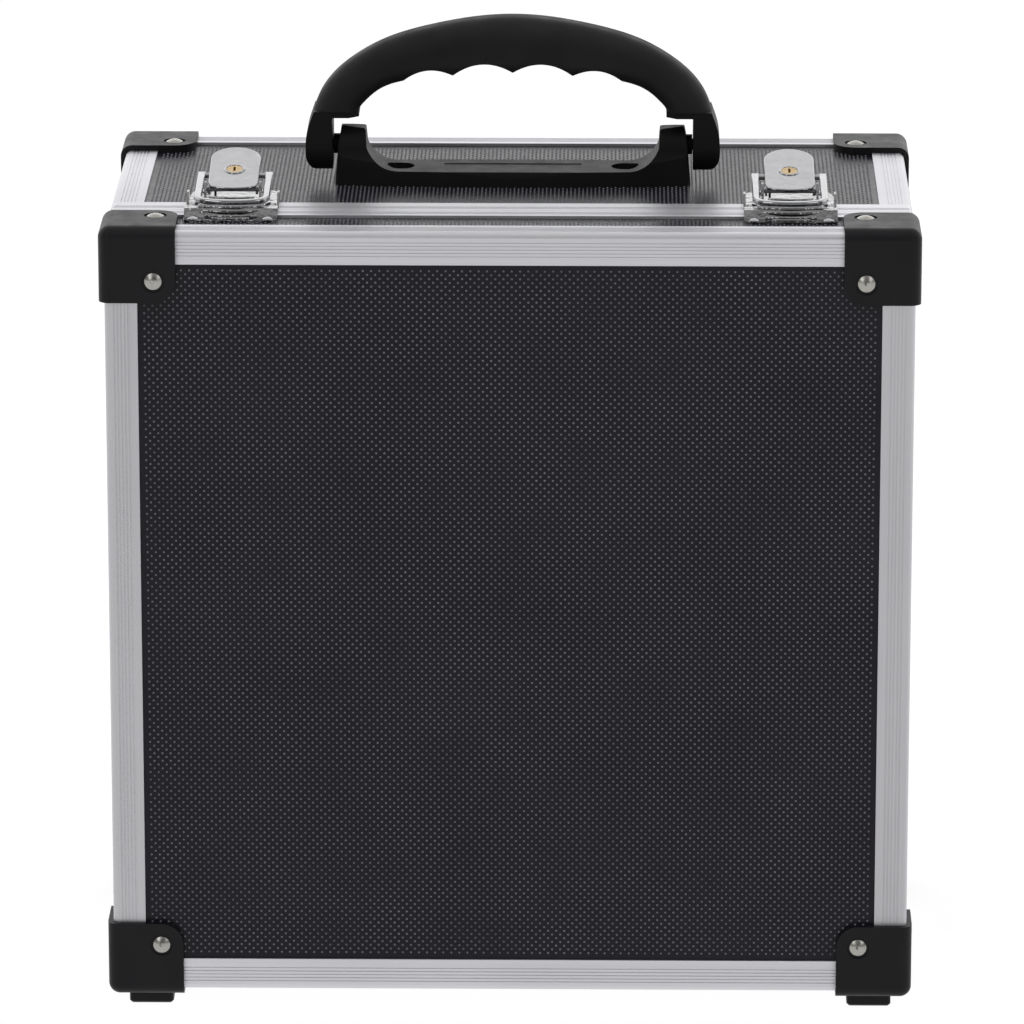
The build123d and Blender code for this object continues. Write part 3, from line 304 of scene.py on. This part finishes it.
def soft_rubber():
    """Over-moulded grip: dry and fine-grained, a little paler and dustier in random patches."""
    base, pale = (0.0085, 0.0085, 0.0092), (0.0145, 0.0145, 0.0152)
    finish = Finish("soft_grip", base, 0.0, 0.55, 0.12)
    finish.color(finish.blend(finish.between(finish.noise(40, 5), 0.0, 1.0), base, pale))
    finish.rough(finish.between(finish.noise(120, 4), 0.5, 0.66))
    finish.bump((finish.cells(1500), 0.35, 0.00006), (finish.noise(2600, 2), 0.3, 0.00004))
    finish.set("Sheen Weight", 0.05)
    finish.set("Sheen Roughness", 0.4)
    return finish.material


def foam_cloth(name, color, scale):
    """Open-pored foam sheet with a short velvet nap."""
    pale = tuple(1.9 * c for c in color)
    finish = Finish(name, color, 0.0, 0.95, 0.1)
    pores = finish.cells(scale)
    nap = finish.noise(scale * 1.7, 4, 0.7)
    finish.color(finish.blend(finish.between(nap, 0.0, 1.0), color, pale))
    finish.rough(finish.between(nap, 0.86, 1.0))
    finish.bump((pores, 0.7, 0.0003), (nap, 0.6, 0.0002))
    finish.set("Sheen Weight", 0.35)
    finish.set("Sheen Roughness", 0.5)
    return finish.material


# The rails are one aluminium extrusion, painted at three levels by direction as painted light and
# shade for how the lamps fall on them: the rails along x lightest, the upright rails along z darkest.
ALUMINIUM = [
    aluminium(f"aluminium_{axis}", along, level)
    for along, (axis, level) in enumerate((("x", 0.63), ("y", 0.60), ("z", 0.52)))
]
BOARD = board_black()
DOTS = board_dots_wear_and_sheen()
CORNER = moulded_black("corner_plastic", (0.0056, 0.0056, 0.0067), 1500, 0.42, 0.18)
HANDLE = moulded_black("handle_plastic", (0.0062, 0.0062, 0.0066), 1900, 0.46, 0.09)
GRIP = soft_rubber()
CHROME = plated("chrome", (0.43, 0.43, 0.44), 0.04, 0.05, 0.22)
# The pressed chrome is painted darker than the chrome, as painted shade standing in for the dark room
# that the keepers and latch bases reflect.
PRESSED = plated("pressed_chrome", (0.27, 0.27, 0.275), 0.05, 0.06, 0.9, 0.0012)
NICKEL = plated("nickel", (0.40, 0.39, 0.36), 0.22, 0.12, 0.25)
ZINC = plated("zinc_steel", (0.50, 0.50, 0.52), 0.27, 0.15, 0.2)
BLACKED = plated("blacked_steel", (0.030, 0.030, 0.032), 0.34, 0.14, 0.25)
BRASS = brass()
LINING = foam_cloth("lining_foam", (0.030, 0.030, 0.033), 1500)
FOAM = foam_cloth("lid_foam_grey", (0.042, 0.042, 0.046), 900)
DIVIDER = moulded_black("divider_plastic", (0.022, 0.022, 0.023), 1100, 0.5, 0.4)


def finish_of(name):
    """The material of a CAD node that stays in view."""
    if name.endswith(("_panel", "_panels")):
        return BOARD
    if name in ("lid_depth_rails", "body_depth_rails"):
        return ALUMINIUM[1]
    if name.endswith(("_frame_sides", "_upright_rails", "_left_rail", "_right_rail")):
        return ALUMINIUM[2]
    if name.endswith(("_rail", "_rails", "_frame_top", "_frame_bottom")):
        return ALUMINIUM[0]
    if name.startswith("corner_"):
        return CORNER
    if name in ("handle_base", "handle_core"):
        return HANDLE
    if name == "handle_grip":
        return GRIP
    if name.endswith("_corner_rivets"):
        return NICKEL
    if name in ("handle_pins", "handle_screws"):
        return BLACKED
    if name.endswith(("_screws", "_plate", "_pins", "_leaves")):
        return ZINC
    if name.endswith("_plug"):
        return BRASS
    if name.endswith(("_keeper", "_latch_base")):
        return PRESSED
    if name.endswith(("_lining", "_linings")):
        return LINING
    if name == "lid_foam":
        return FOAM
    if name in ("disc_divider", "divider_channels"):
        return DIVIDER
    return CHROME


for name, node in nodes.items():
    node.data.materials.clear()
    node.data.materials.append(finish_of(name))


# New pieces

def to_piece(mesh, name, body, material):
    """A finished mesh as a piece of the case, riding on its body."""
    for face in mesh.polygons:
        face.use_smooth = True
    piece = bpy.data.objects.new(name, mesh)
    bpy.context.scene.collection.objects.link(piece)
    piece.data.materials.append(material)
    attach(piece, body)
    return piece


def mesh_of(shape, name):
    mesh = bpy.data.meshes.new(name)
    shape.to_mesh(mesh)
    shape.free()
    return mesh


def spread(mesh, across, up, counts):
    """The mesh repeated in rows and columns by two array modifiers, applied."""
    holder = bpy.data.objects.new("row", mesh)
    bpy.context.scene.collection.objects.link(holder)
    for step, count in zip((across, up), counts):
        rows = holder.modifiers.new("rows", "ARRAY")
        rows.use_relative_offset = False
        rows.use_constant_offset = True
        rows.constant_offset_displace = step
        rows.count = count
    seen = holder.evaluated_get(bpy.context.evaluated_depsgraph_get())
    made = bpy.data.meshes.new_from_object(seen)
    bpy.data.objects.remove(holder)
    return made


def dots(name, body, low, high, normal, pieces=1):
    """Raised dots over a board's face between two corners, standing along its normal."""
    normal = Vector(normal)
    flat = [i for i in range(3) if abs(normal[i]) < 0.5]
    pitches = (dot_pitch_across, dot_pitch_up)
    counts = [
        int((high[i] - low[i] - 2 * dot_radius) / pitch) for i, pitch in zip(flat, pitches)
    ]
    steps = []
    start = Vector((low + high) / 2)
    for i, pitch, count in zip(flat, pitches, counts):
        step = Vector((0, 0, 0))
        step[i] = pitch
        steps.append(step)
        start[i] -= pitch * (count - 0.5) / 2
    turn = Vector((0, 0, 1)).rotation_difference(normal).to_matrix().to_4x4()
    rows_done = 0
    for part in range(pieces):
        rows = (counts[1] - rows_done) // (pieces - part)
        first = start + steps[1] * rows_done
        rows_done += rows
        shape = bmesh.new()
        for corner in (first, first + (steps[0] + steps[1]) / 2):
            bmesh.ops.create_cone(
                shape,
                cap_ends=True,
                segments=dot_sides,
                radius1=dot_radius,
                radius2=dot_top,
                depth=dot_height,
                matrix=Matrix.Translation(corner + normal * dot_height * 0.45) @ turn,
            )
        label = name if pieces == 1 else f"{name}_{part + 1}"
        field = spread(mesh_of(shape, label), *steps, (counts[0], rows))
        to_piece(field, label, body, DOTS)


def dotted_boards():
    """Dots over the free part of every outer board, between the rails that hold it."""
    low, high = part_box("front_top_rail")
    leg = high[1] - low[1]
    left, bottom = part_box("front_left_rail")[0][0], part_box("front_bottom_rail")[0][2]
    rails_low = Vector((left, low[1], bottom))
    rails_high = Vector((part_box("front_right_rail")[1][0], 0, high[2]))
    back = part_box("back_level_rails")[1][1]
    inset = leg + rail_margin
    x0, x1 = rails_low[0] + inset, rails_high[0] - inset
    z0, z1 = rails_low[2] + inset, rails_high[2] - inset
    y0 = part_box("lid_front_panel")[0][1]
    depth = y0 - low[1]
    y1 = back - depth
    dots("lid_front_dots", "lid", Vector((x0, y0, z0)), Vector((x1, y0, z1)), (0, -1, 0), 2)
    dots("body_back_dots", "root", Vector((x0, y1, z0)), Vector((x1, y1, z1)), (0, 1, 0), 2)
    lid_span = (low[1] + inset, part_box("lid_frame_top")[0][1] - rail_margin)
    body_span = (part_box("body_frame_top")[1][1] + rail_margin, back - inset)
    for part, body, (start, end) in (("lid", "lid", lid_span), ("body", "root", body_span)):
        for place, z, up in (("top", rails_high[2] - depth, 1), ("bottom", rails_low[2] + depth, -1)):
            corners = Vector((x0, start, z)), Vector((x1, end, z))
            dots(f"{part}_{place}_dots", body, *corners, (0, 0, up))
        for side, x, out in (("left", rails_low[0] + depth, -1), ("right", rails_high[0] - depth, 1)):
            corners = Vector((x, start, z0)), Vector((x, end, z1))
            dots(f"{part}_{side}_dots", body, *corners, (out, 0, 0))


def slab(low, high):
    """A plain block between two corners, to be shaped further."""
    shape = bmesh.new()
    bmesh.ops.create_cube(shape, size=1)
    bmesh.ops.scale(shape, vec=high - low, verts=shape.verts)
    bmesh.ops.translate(shape, vec=(low + high) / 2, verts=shape.verts)
    return shape


def soften(shape, width, angle=50, segments=3):
    """Rounds every edge whose two faces meet more sharply than the angle."""
    sharp = [e for e in shape.edges if e.is_manifold and e.calc_face_angle() > math.radians(angle)]
    bmesh.ops.bevel(
        shape,
        geom=sharp,
        offset=width,
        offset_type="OFFSET",
        segments=segments,
        profile=0.5,
        affect="EDGES",
        material=-1,
    )


def cut_window(shape, low, high, up):
    """A rectangular hole through a slab, along the axis numbered up."""
    flat = [i for i in range(3) if i != up]
    for i in flat:
        for place in (low[i], high[i]):
            normal = Vector((0, 0, 0))
            normal[i] = 1
            geom = shape.verts[:] + shape.edges[:] + shape.faces[:]
            bmesh.ops.bisect_plane(shape, geom=geom, plane_co=normal * place, plane_no=normal)
    inside = [
        f
        for f in shape.faces
        if abs(f.normal[up]) > 0.5
        and all(low[i] < f.calc_center_median()[i] < high[i] for i in flat)
    ]
    bmesh.ops.delete(shape, geom=inside, context="FACES")
    rims = [e for e in shape.edges if e.is_boundary]
    bmesh.ops.bridge_loops(shape, edges=rims)


def lining_pad(low, high, inward, window=None):
    """Thin foam sheet with a heat-pressed seam near its border and softened edges."""
    shape = slab(low, high)
    facing = Vector(inward)
    up = max(range(3), key=lambda i: abs(facing[i]))
    if window:
        cut_window(shape, *window, up)
    shape.normal_update()
    seen = [f for f in shape.faces if f.normal.dot(facing) > 0.5]
    bmesh.ops.inset_region(shape, faces=seen, thickness=seam_inset, use_even_offset=True)
    for depth in (-seam_depth, seam_depth):
        bmesh.ops.inset_region(
            shape, faces=seen, thickness=seam_width, depth=depth, use_even_offset=True
        )
    soften(shape, lining_edge)
    bmesh.ops.recalc_face_normals(shape, faces=shape.faces)
    return shape


def pad_piece(shapes, name, body, material, node):
    """One piece of foam made of one or more shapes, standing for a soft CAD node."""
    whole = bmesh.new()
    for shape in shapes:
        whole.from_mesh(mesh_of(shape, name))
    piece = to_piece(mesh_of(whole, name), name, body, material)
    piece.data.set_sharp_from_angle(angle=math.radians(35))
    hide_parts(node)


def linings():
    """Thin foam on the inside of the body's boards, with a window round the handle's steel plate."""
    low, high = (Vector(v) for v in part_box("back_lining"))
    thick = high[1] - low[1]
    pad_piece([lining_pad(low, high, (0, -1, 0))], "back_lining_foam", "root", LINING, "back_lining")

    low, high = (Vector(v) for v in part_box("side_linings"))
    left = lining_pad(low, Vector((low[0] + thick, high[1], high[2])), (1, 0, 0))
    right = lining_pad(Vector((high[0] - thick, low[1], low[2])), high, (-1, 0, 0))
    pad_piece([left, right], "side_lining_foam", "root", LINING, "side_linings")

    low, high = (Vector(v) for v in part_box("end_linings"))
    plate_low, plate_high = (Vector(v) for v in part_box("handle_backing_plate"))
    play = Vector((window_play, window_play, 0))
    window = (plate_low - play, plate_high + play)
    top = lining_pad(Vector((low[0], low[1], high[2] - thick)), high, (0, 0, -1), window)
    bottom = lining_pad(low, Vector((high[0], high[1], low[2] + thick)), (0, 0, 1))
    pad_piece([top, bottom], "end_lining_foam", "root", LINING, "end_linings")


def wave(place, low, high):
    """Depth of the convoluted foam at a place: hills and hollows that fade out at the border."""
    rise = 1.0
    fade = 1.0
    for i in (0, 2):
        span = high[i] - low[i]
        waves = round((span - 2 * wave_border) / wave_pitch)
        along = place[i] - low[i] - wave_border
        rise *= math.cos(2 * math.pi * waves * along / (span - 2 * wave_border))
        edge = min(place[i] - low[i], high[i] - place[i])
        fade = min(fade, max(0.0, (edge - wave_border) / (wave_pitch / 4)))
    return wave_depth * min(fade, 1.0) * (0.5 - 0.5 * rise)


def lid_pad():
    """Convoluted foam pad in the lid, hills towards the discs, with a plain border."""
    low, high = (Vector(v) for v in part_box("lid_foam"))
    size = high - low
    steps = [round(size[i] / wave_pitch) * wave_steps for i in (0, 2)]
    shape = bmesh.new()
    bmesh.ops.create_grid(shape, x_segments=steps[0], y_segments=steps[1], size=0.5)
    turn = Matrix.Rotation(-math.pi / 2, 3, "X")
    bmesh.ops.rotate(shape, matrix=turn, verts=shape.verts)
    bmesh.ops.scale(shape, vec=(size[0], 1, size[2]), verts=shape.verts)
    centre = Vector(((low[0] + high[0]) / 2, high[1], (low[2] + high[2]) / 2))
    bmesh.ops.translate(shape, vec=centre, verts=shape.verts)
    rim = [e for e in shape.edges if e.is_boundary]
    grown = bmesh.ops.extrude_edge_only(shape, edges=rim)
    wall = [v for v in grown["geom"] if isinstance(v, bmesh.types.BMVert)]
    for vert in wall:
        vert.co.y = low[1]
    bmesh.ops.holes_fill(shape, edges=[e for e in shape.edges if e.is_boundary], sides=0)
    soften(shape, foam_edge)
    for vert in shape.verts:
        if vert.co.y > high[1] - foam_edge / 2:
            vert.co.y -= wave(vert.co, low, high)
    bmesh.ops.recalc_face_normals(shape, faces=shape.faces)
    pad_piece([shape], "lid_foam_pad", "lid", FOAM, "lid_foam")


def keeper_beads(side):
    """Bowed ridges pressed across a keeper, in line with the bow of the bail."""
    low, high = (Vector(v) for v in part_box(f"{side}_keeper"))
    middle = (low[0] + high[0]) / 2
    whole = bmesh.new()
    for bead in beads:
        back, up, radius, half_width = (value * MM for value in bead)
        half_turn = math.asin(half_width / bead_bow)
        centre = Vector((middle, low[1] + back + bead_bow, low[2] + up))
        shape = bmesh.new()
        ring = bmesh.ops.create_circle(shape, cap_ends=True, segments=bead_sides, radius=radius)
        stand = Matrix.Rotation(math.pi / 2, 3, "Y")
        bmesh.ops.rotate(shape, matrix=stand, verts=ring["verts"])
        bmesh.ops.translate(shape, vec=centre - Vector((0, bead_bow, 0)), verts=ring["verts"])
        turned = Matrix.Rotation(-half_turn, 3, "Z")
        bmesh.ops.rotate(shape, cent=centre, matrix=turned, verts=ring["verts"])
        bmesh.ops.spin(
            shape,
            geom=shape.verts[:] + shape.edges[:] + shape.faces[:],
            cent=centre,
            axis=(0, 0, 1),
            angle=2 * half_turn,
            steps=bead_steps,
        )
        bmesh.ops.remove_doubles(shape, verts=shape.verts, dist=1e-7)
        bmesh.ops.recalc_face_normals(shape, faces=shape.faces)
        whole.from_mesh(mesh_of(shape, "bead"))
    name = f"{side}_keeper_beads"
    to_piece(mesh_of(whole, name), name, "lid", PRESSED)


def lock_ring(side):
    """Bright pressed ring on the lever, round the brass plug."""
    joint = next(j for j in frame["joints"] if j["name"] == f"{side}_lock_turn")
    axis = Vector(joint["axis"]).normalized()
    centre = Vector(joint["pos_m"]) + axis * lever_face
    shape = bmesh.new()
    across = Vector((1, 0, 0))
    profile = [(ring_inner, 0), (ring_outer, 0), (ring_outer, 0.35), (ring_outer - ring_shoulder, 0.8)]
    profile += [((ring_inner + ring_outer) / 2, 1), (ring_inner, 0.85)]
    verts = [
        shape.verts.new(centre + across * out + axis * up * ring_height) for out, up in profile
    ]
    for first, second in zip(verts, verts[1:] + verts[:1]):
        shape.edges.new((first, second))
    bmesh.ops.spin(
        shape,
        geom=shape.verts[:] + shape.edges[:],
        cent=centre,
        axis=axis,
        angle=2 * math.pi,
        steps=ring_steps,
        use_merge=True,
    )
    bmesh.ops.recalc_face_normals(shape, faces=shape.faces)
    name = f"{side}_lock_ring"
    to_piece(mesh_of(shape, name), name, f"{side}_lever", CHROME)


dotted_boards()
linings()
lid_pad()
for side in ("left", "right"):
    lock_ring(side)
    keeper_beads(side)


# Stage, light and camera

def floor_material():
    """Matt grey lifted to white for the camera and for mirrors, thinning out towards the viewer."""
    material = bpy.data.materials.new("pale_floor")
    material.use_nodes = True
    tree = material.node_tree
    tree.nodes.clear()
    matt = tree.nodes.new("ShaderNodeBsdfDiffuse")
    matt.inputs["Color"].default_value = (floor_grey, floor_grey, floor_grey, 1)
    glow = tree.nodes.new("ShaderNodeEmission")
    fill = tree.nodes.new("ShaderNodeMath")
    fill.operation = "MULTIPLY"
    fill.inputs[1].default_value = floor_glow
    tree.links.new(either_ray(tree, "Is Camera Ray", "Is Glossy Ray"), fill.inputs[0])
    tree.links.new(fill.outputs[0], glow.inputs["Strength"])
    both = tree.nodes.new("ShaderNodeAddShader")
    tree.links.new(matt.outputs[0], both.inputs[0])
    tree.links.new(glow.outputs[0], both.inputs[1])
    spot = tree.nodes.new("ShaderNodeSeparateXYZ")
    tree.links.new(tree.nodes.new("ShaderNodeTexCoord").outputs["Object"], spot.inputs[0])
    thinned = tree.nodes.new("ShaderNodeMixShader")
    share = ramp(tree, spot.outputs["Y"], *floor_fade, floor_front_share)
    tree.links.new(share, thinned.inputs["Fac"])
    tree.links.new(tree.nodes.new("ShaderNodeBsdfTransparent").outputs[0], thinned.inputs[1])
    tree.links.new(both.outputs[0], thinned.inputs[2])
    out = tree.nodes.new("ShaderNodeOutputMaterial")
    tree.links.new(thinned.outputs[0], out.inputs["Surface"])
    return material


def studio_floor():
    """Pale floor with a soft shadow. It thins out under the front of the case and before it, so
    that the lid is still in sight where it swings down past floor level."""
    shape = bmesh.new()
    bmesh.ops.create_grid(shape, x_segments=1, y_segments=1, size=floor_half_size)
    mesh = mesh_of(shape, "studio_floor")
    mesh.materials.append(floor_material())
    floor = bpy.data.objects.new("studio_floor", mesh)
    bpy.context.scene.collection.objects.link(floor)
    floor.visible_shadow = False
    floor.visible_diffuse = False


def studio_world():
    """Soft light from all round. The camera sees plain white; metal sees that white behind the
    case, fading overhead, and the dimmer room in front of it."""
    world = bpy.data.worlds.new("studio")
    bpy.context.scene.world = world
    world.use_nodes = True
    tree = world.node_tree

    def mixed(factor, first, second):
        made = tree.nodes.new("ShaderNodeMix")
        tree.links.new(factor, made.inputs["Factor"])
        for socket, value in ((made.inputs["A"], first), (made.inputs["B"], second)):
            if isinstance(value, float):
                socket.default_value = value
            else:
                tree.links.new(value, socket)
        return made.outputs["Result"]

    direction = tree.nodes.new("ShaderNodeSeparateXYZ")
    tree.links.new(tree.nodes.new("ShaderNodeTexCoord").outputs["Generated"], direction.inputs[0])
    height = direction.outputs["Z"]
    behind = ramp(tree, height, *level_behind)
    before = ramp(tree, height, *level_before)
    above = mixed(ramp(tree, direction.outputs["Y"], *front_to_back), before, behind)
    room = mixed(ramp(tree, height, *horizon), level_below, above)
    glossy = tree.nodes.new("ShaderNodeLightPath").outputs["Is Glossy Ray"]
    level = mixed(glossy, soft_light, room)
    seen = either_ray(tree, "Is Camera Ray", "Is Transmission Ray")
    background = tree.nodes["Background"]
    background.inputs["Color"].default_value = (1, 1, 1, 1)
    tree.links.new(mixed(seen, level, 1.0), background.inputs["Strength"])


def softbox(name, place, size, power, mirrored):
    lamp = bpy.data.lights.new(name, "AREA")
    lamp.shape = "RECTANGLE"
    lamp.size, lamp.size_y = size
    lamp.energy = power
    holder = bpy.data.objects.new(name, lamp)
    holder.visible_glossy = mirrored
    bpy.context.scene.collection.objects.link(holder)
    direction = Vector(light_aim) - Vector(place)
    turn = direction.to_track_quat("-Z", "Y").to_matrix().to_4x4()
    holder.matrix_world = Matrix.Translation(place) @ turn


def photo_camera():
    lens = bpy.data.cameras.new("photo_camera")
    lens.sensor_fit = "HORIZONTAL"
    lens.sensor_width = 36
    lens.lens = camera_lens
    lens.clip_end = 50
    holder = bpy.data.objects.new("photo_camera", lens)
    bpy.context.scene.collection.objects.link(holder)
    down, turned = math.radians(camera_elevation), math.radians(camera_turn)
    looking = Vector(
        (math.sin(turned) * math.cos(down), math.cos(turned) * math.cos(down), -math.sin(down))
    )
    turn = looking.to_track_quat("-Z", "Y").to_matrix().to_4x4()
    holder.matrix_world = Matrix.Translation(camera_aim - looking * camera_distance) @ turn
    bpy.context.scene.camera = holder


studio_floor()
studio_world()
for values in softboxes:
    softbox(*values)
photo_camera()
bpy.context.scene.view_settings.view_transform = "Standard"
